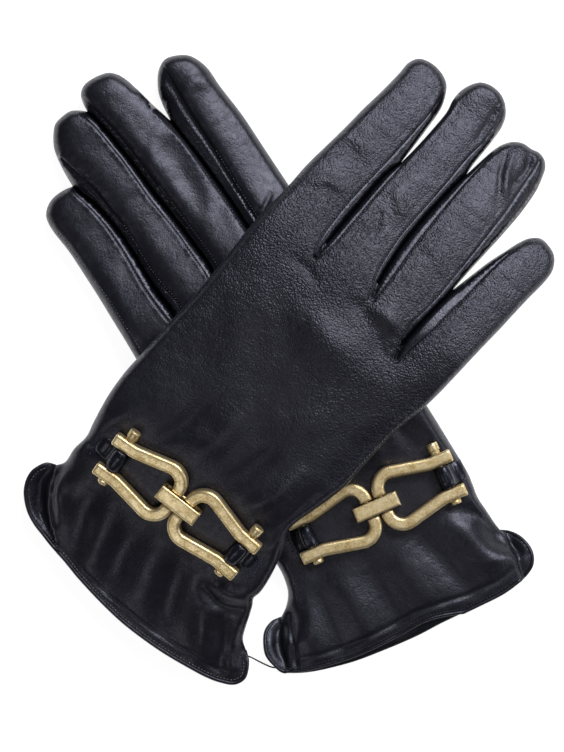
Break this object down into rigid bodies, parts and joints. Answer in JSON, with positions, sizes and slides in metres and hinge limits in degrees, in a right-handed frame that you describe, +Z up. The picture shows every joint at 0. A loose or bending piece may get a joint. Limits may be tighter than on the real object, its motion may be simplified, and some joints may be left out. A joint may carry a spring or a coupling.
{
  "type": "pair of leather dress gloves",
  "caption": "Pair of short leather dress gloves lying crossed, backs up, each with a brass horse-bit chain across the wrist, held by leather tabs.",
  "frame": {"origin": "on the table under the middle of the ground that the two gloves cover", "axes": "+Y up the picture, towards the fingertips of both gloves; +X to the right of the picture; +Z up from the table, out of the gloves' backs"},
  "size_m": [0.2028, 0.24, 0.0357],
  "materials": {
    "leather": "smooth nappa with a fine grain and a soft sheen",
    "side_leather": "smooth nappa, edges pared and sewn",
    "trim_leather": "smooth nappa, folded and stitched",
    "lining": "fine dark knitted lining",
    "elastic": "flat woven elastic",
    "chain_metal": "antique brushed brass with dark patina in the corners",
    "thread": "waxed sewing thread"
  },
  "bodies": {
    "left_glove": {"left_trank": "leather", "left_thumb": "leather", "left_lining": "lining", "left_cuff_facing": "trim_leather", "left_cuff_binding": "trim_leather", "left_wrist_elastic": "elastic", "left_fork_quirks": "side_leather", "left_tab_index": "trim_leather", "left_tab_little": "trim_leather", "left_index_fourchette_to_middle": "side_leather", "left_middle_fourchette_to_index": "side_leather", "left_middle_fourchette_to_ring": "side_leather", "left_ring_fourchette_to_middle": "side_leather", "left_ring_fourchette_to_little": "side_leather", "left_little_fourchette_to_ring": "side_leather", "pair_thread": "thread"},
    "left_index_stirrup": {"left_stirrup_index": "chain_metal", "left_pin_index": "chain_metal"},
    "left_little_stirrup": {"left_stirrup_little": "chain_metal", "left_pin_little": "chain_metal"},
    "left_link": {"left_link": "chain_metal"},
    "right_glove": {"right_trank": "leather", "right_thumb": "leather", "right_lining": "lining", "right_cuff_facing": "trim_leather", "right_cuff_binding": "trim_leather", "right_wrist_elastic": "elastic", "right_fork_quirks": "side_leather", "right_tab_index": "trim_leather", "right_tab_little": "trim_leather", "right_index_fourchette_to_middle": "side_leather", "right_middle_fourchette_to_index": "side_leather", "right_middle_fourchette_to_ring": "side_leather", "right_ring_fourchette_to_middle": "side_leather", "right_ring_fourchette_to_little": "side_leather", "right_little_fourchette_to_ring": "side_leather"},
    "right_index_stirrup": {"right_stirrup_index": "chain_metal", "right_pin_index": "chain_metal"},
    "right_little_stirrup": {"right_stirrup_little": "chain_metal", "right_pin_little": "chain_metal"},
    "right_link": {"right_link": "chain_metal"}
  },
  "joints": [
    {"name": "left_chain_lift", "type": "hinge", "parent": "left_glove", "child": "left_index_stirrup", "pos_m": [0.05901, -0.04373, 0.0145], "axis": [-0.3955, 0.9184, 0], "range_deg": [0, 12]},
    {"name": "left_link_turn", "type": "hinge", "parent": "left_index_stirrup", "child": "left_link", "pos_m": [0.03522, -0.05398, 0.0145], "axis": [-0.3955, 0.9184, 0], "range_deg": [-12, 0]},
    {"name": "left_little_lift", "type": "hinge", "parent": "left_glove", "child": "left_little_stirrup", "pos_m": [0.00611, -0.06652, 0.0145], "axis": [0.3955, -0.9184, 0], "range_deg": [0, 12]},
    {"name": "right_chain_lift", "type": "hinge", "parent": "right_glove", "child": "right_index_stirrup", "pos_m": [-0.06653, -0.03688, 0.02908], "axis": [-0.5328, -0.7811, -0.3255], "range_deg": [0, 12]},
    {"name": "right_link_turn", "type": "hinge", "parent": "right_index_stirrup", "child": "right_link", "pos_m": [-0.04524, -0.05162, 0.02959], "axis": [-0.5328, -0.7811, -0.3255], "range_deg": [-12, 0]},
    {"name": "right_little_lift", "type": "hinge", "parent": "right_glove", "child": "right_little_stirrup", "pos_m": [-0.02122, -0.07228, 0.02908], "axis": [0.629, 0.7059, 0.3255], "range_deg": [0, 12]},
    {"name": "lift_off_slide", "type": "slide", "parent": "left_glove", "child": "right_glove", "axis": [0, 0, 1], "range_m": [0, 0.06]}
  ],
  "couplings": [
    {"joint": "left_link_turn", "follows": "left_chain_lift", "ratio": -1},
    {"joint": "left_little_lift", "follows": "left_chain_lift", "ratio": 1},
    {"joint": "right_link_turn", "follows": "right_chain_lift", "ratio": -1},
    {"joint": "right_little_lift", "follows": "right_chain_lift", "ratio": 1}
  ]
}
